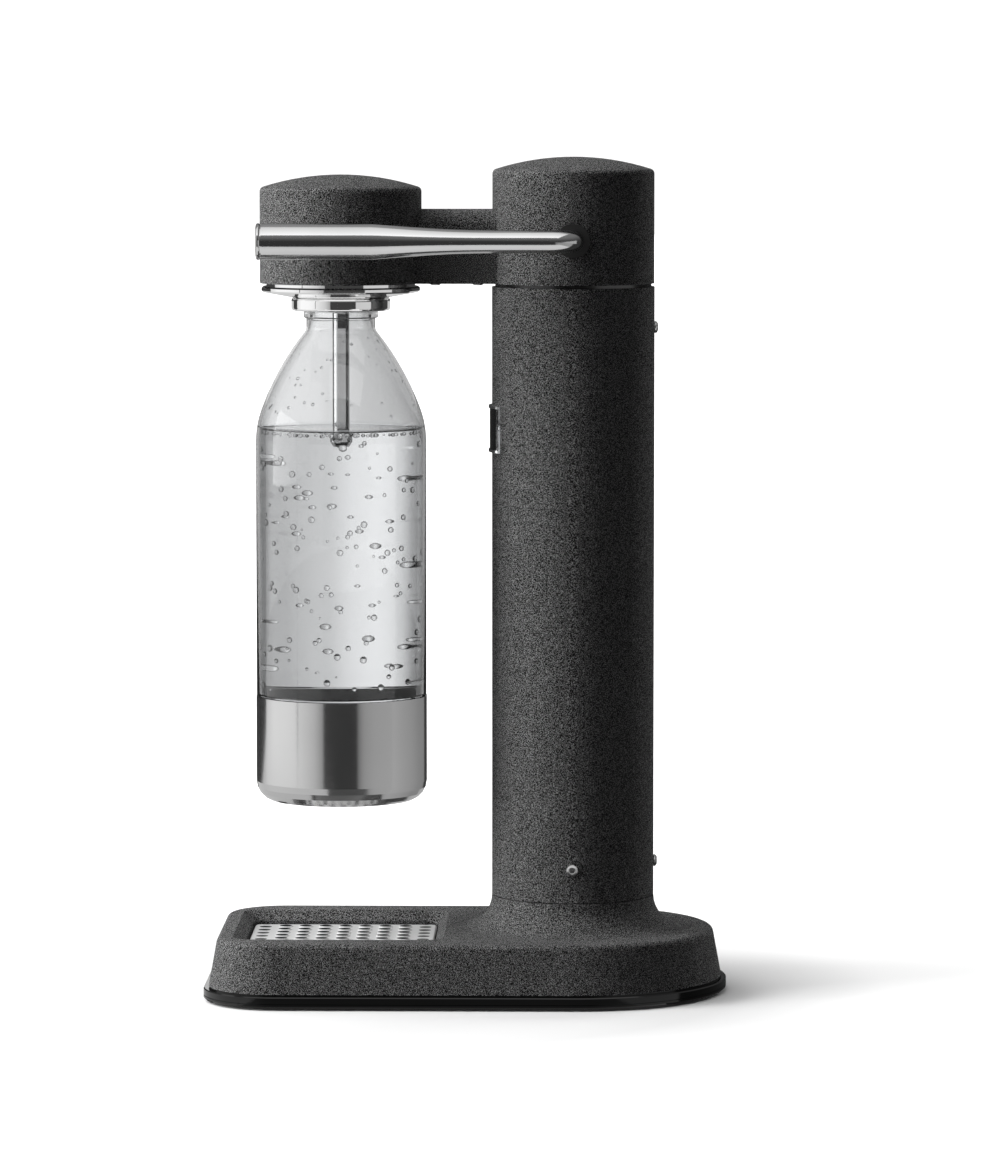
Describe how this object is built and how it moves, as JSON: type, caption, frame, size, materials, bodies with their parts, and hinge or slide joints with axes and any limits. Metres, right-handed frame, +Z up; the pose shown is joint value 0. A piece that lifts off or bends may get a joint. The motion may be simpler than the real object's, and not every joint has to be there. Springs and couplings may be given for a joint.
{
  "type": "sparkling water maker",
  "caption": "Lever carbonator: drip base, round column with gas cylinder, cast head with arm and nozzle barrel, side lever and a clear bottle hanging from a chrome collar.",
  "frame": {"origin": "centre of the base's bounding rectangle, on the surface that the rubber feet stand on", "axes": "+Z up; +X from the bottle towards the column; the lever lies on the -Y side"},
  "size_m": [0.258, 0.153, 0.414],
  "materials": {
    "sand_coat": "matte black coat with a fine sand texture",
    "gloss_black": "glossy black",
    "matte_black": "matte black",
    "rubber": "matte",
    "polished_steel": "polished",
    "screw_steel": "plain bright",
    "grid_steel": "satin",
    "cup_steel": "satin polished",
    "chrome": "mirror bright",
    "cylinder_metal": "satin",
    "brass": "machined",
    "clear_bottle": "clear"
  },
  "bodies": {
    "frame": {"base_shell": "sand_coat", "base_rim": "gloss_black", "bottom_plate": "gloss_black", "rubber_feet": "rubber", "base_screws": "screw_steel", "column_tube": "sand_coat", "column_foot_screws": "screw_steel", "column_top_screw": "screw_steel", "joint_ring": "polished_steel", "badge_frame": "chrome", "badge_panel": "gloss_black", "head_casting": "sand_coat", "arm_cover": "sand_coat", "arm_screws": "screw_steel", "lever_bush": "matte_black", "shaft_end_bush": "brass", "plunger_spring": "screw_steel", "valve_block": "brass", "block_seal": "rubber", "block_screws": "screw_steel", "outlet_elbow": "brass", "gas_hose": "rubber", "hose_ferrules": "screw_steel", "nozzle_plate": "chrome", "nozzle_body": "matte_black", "nozzle_screws": "screw_steel", "nozzle_tube": "polished_steel", "nozzle_tip": "polished_steel", "bottle_collar": "chrome", "bottle_seal": "rubber", "relief_valve": "brass"},
    "lever": {"lever_arm": "polished_steel", "lever_end_cap": "polished_steel", "cam_shaft": "polished_steel", "cam": "polished_steel", "shaft_clip": "screw_steel"},
    "plunger": {"plunger": "polished_steel"},
    "cylinder": {"gas_cylinder": "cylinder_metal", "cylinder_valve": "brass"},
    "valve_pin": {"valve_pin": "screw_steel"},
    "bottle": {"bottle": "clear_bottle", "bottle_cup": "cup_steel"},
    "drip_grid": {"drip_grid": "grid_steel"}
  },
  "joints": [
    {"name": "lever_pull", "type": "hinge", "parent": "frame", "child": "lever", "pos_m": [0.0525, 0, 0.3735], "axis": [0, -1, 0], "range_deg": [0, 30], "stiffness_Nm_per_rad": 1.5, "springref_deg": -22.92},
    {"name": "plunger_stroke", "type": "slide", "parent": "frame", "child": "plunger", "axis": [0, 0, -1], "range_m": [0, 0.0025], "deforming": ["plunger_spring"]},
    {"name": "valve_pin_stroke", "type": "slide", "parent": "cylinder", "child": "valve_pin", "axis": [0, 0, -1], "range_m": [0, 0.0025]},
    {"name": "cylinder_turn", "type": "hinge", "parent": "frame", "child": "cylinder", "pos_m": [0.0525, 0, 0.2], "axis": [0, 0, -1], "range_deg": [0, 1080]},
    {"name": "bottle_drop", "type": "slide", "parent": "frame", "child": "bottle", "axis": [0, 0, -1], "range_m": [0, 0.05]},
    {"name": "grid_lift", "type": "slide", "parent": "frame", "child": "drip_grid", "axis": [0, 0, 1], "range_m": [0, 0.012]}
  ],
  "couplings": [
    {"joint": "plunger_stroke", "follows": "lever_pull", "m_per_rad": 0.004774},
    {"joint": "valve_pin_stroke", "follows": "lever_pull", "m_per_rad": 0.004774}
  ]
}
